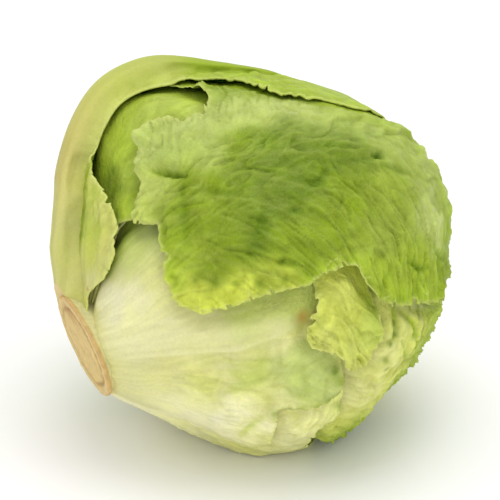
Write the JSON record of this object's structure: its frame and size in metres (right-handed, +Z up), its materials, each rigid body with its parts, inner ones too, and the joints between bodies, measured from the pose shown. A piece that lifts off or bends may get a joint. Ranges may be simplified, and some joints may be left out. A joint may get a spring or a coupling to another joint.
{
  "type": "head of lettuce",
  "caption": "Cut head of iceberg lettuce lying on its side, with loose torn outer leaves wrapped round a packed heart and a tan cut stem.",
  "frame": {"origin": "centre of the flat patch underneath, on which the head rests, level with the surface it lies on", "axes": "+Z up, -X towards the cut stem, +X towards the crown, -Y the side that shows the pale front leaf"},
  "size_m": [0.1554, 0.1441, 0.1421],
  "materials": {
    "stem": "matte, dried cut",
    "heart": "satin, moist",
    "cap_leaf": "satin, waxy",
    "shoulder_leaf": "satin, waxy",
    "fold_leaf": "satin, waxy",
    "front_leaf": "satin, waxy",
    "under_leaf": "satin, waxy",
    "low_back_leaf": "satin, waxy",
    "crown_leaf": "satin, waxy",
    "back_leaf": "satin, waxy",
    "rib_leaf": "satin, waxy"
  },
  "bodies": {
    "root": {"stem": "stem", "heart": "heart", "cap_leaf": "cap_leaf", "shoulder_leaf": "shoulder_leaf", "fold_leaf": "fold_leaf", "front_leaf": "front_leaf", "under_leaf": "under_leaf", "low_back_leaf": "low_back_leaf", "crown_leaf": "crown_leaf", "back_leaf": "back_leaf", "rib_leaf": "rib_leaf"}
  },
  "joints": []
}
